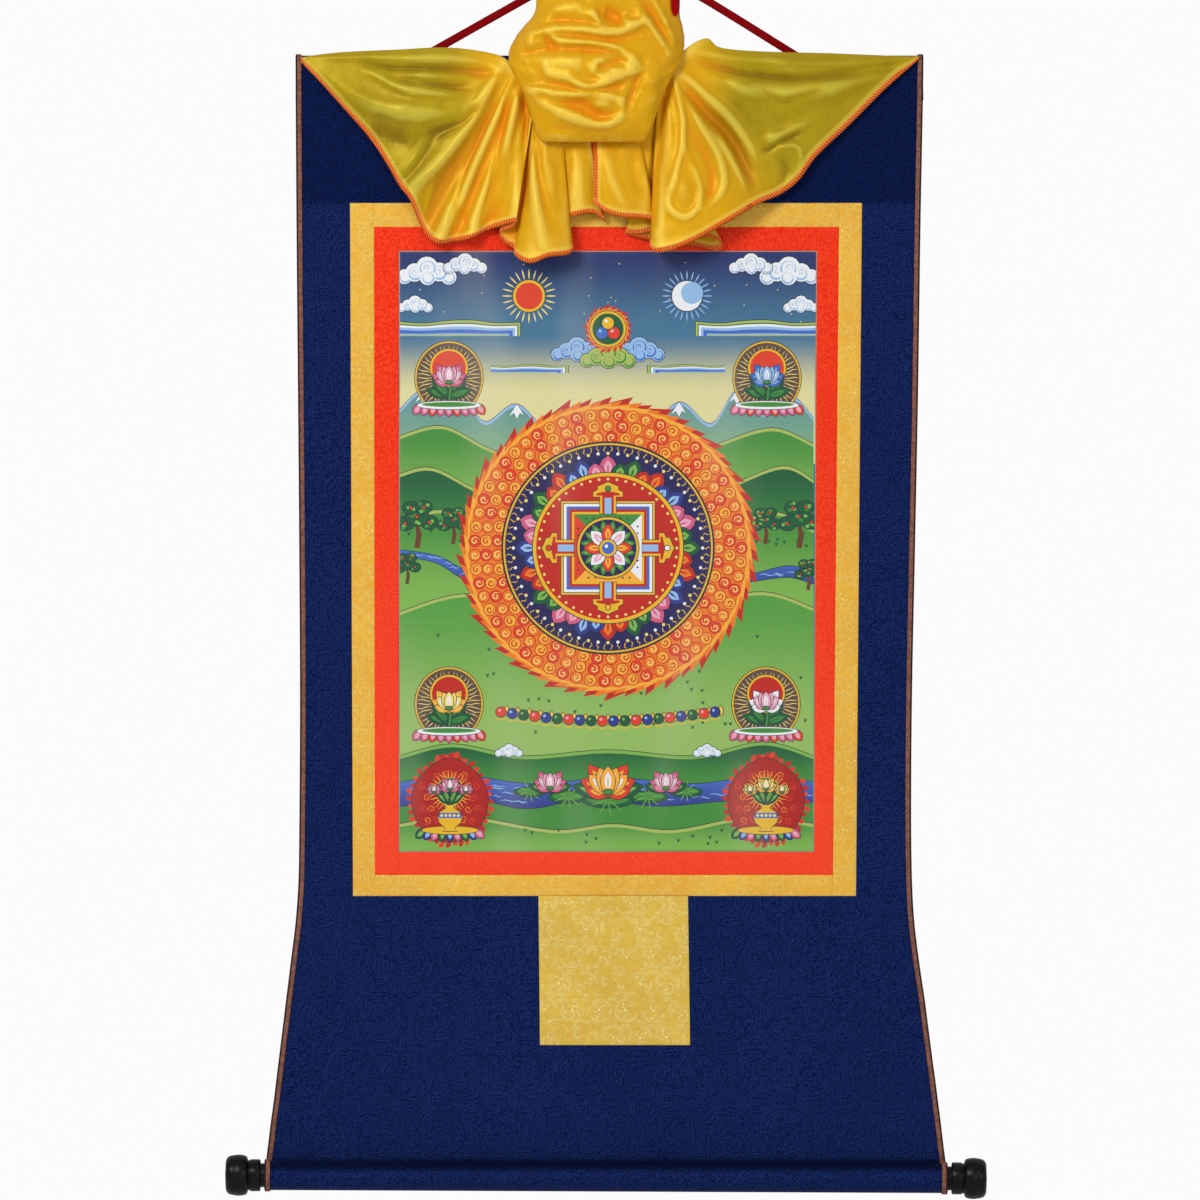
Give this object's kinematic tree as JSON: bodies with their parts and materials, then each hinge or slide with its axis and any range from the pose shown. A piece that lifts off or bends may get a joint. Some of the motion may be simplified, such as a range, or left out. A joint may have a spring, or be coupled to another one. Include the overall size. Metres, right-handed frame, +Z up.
{
  "type": "thangka scroll painting on its stave and roller",
  "caption": "Silk scroll painting with brocade frames, top stave, bottom roller with turned knobs, hanging ribbon and a lifted satin veil.",
  "frame": {"origin": "the hanging point, under the nail at the top of the hanging ribbon", "axes": "+Z up, +X to the viewer's right, the painted front faces -Y and the wall is at +Y"},
  "size_m": [0.7604, 0.0678, 1.2618],
  "materials": {
    "navy_brocade": "tone on tone brocade",
    "gold_brocade": "small-figured brocade, slight metallic sheen",
    "red_silk": "matt silk with a fine grain",
    "printed_satin": "printed satin, soft sheen",
    "copper_tape": "woven tape",
    "wood": "dark stained, matt",
    "black_lacquer": "black, satin gloss",
    "dark_red_ribbon": "ribbed flat ribbon",
    "bright_red_ribbon": "smooth ribbon",
    "yellow_satin": "glossy thin satin"
  },
  "bodies": {
    "root": {"binding_left": "copper_tape", "binding_right": "copper_tape", "bottom_roller": "wood", "door_patch": "gold_brocade", "gold_frame_bottom": "gold_brocade", "gold_frame_left": "gold_brocade", "gold_frame_right": "gold_brocade", "gold_frame_top": "gold_brocade", "ground_bottom": "navy_brocade", "ground_left": "navy_brocade", "ground_right": "navy_brocade", "ground_top": "navy_brocade", "hanging_ribbon": "dark_red_ribbon", "knob_left": "black_lacquer", "knob_right": "black_lacquer", "picture_panel": "printed_satin", "red_frame_bottom": "red_silk", "red_frame_left": "red_silk", "red_frame_right": "red_silk", "red_frame_top": "red_silk", "red_tie": "bright_red_ribbon", "top_stave": "wood", "veil": "yellow_satin"}
  },
  "joints": []
}
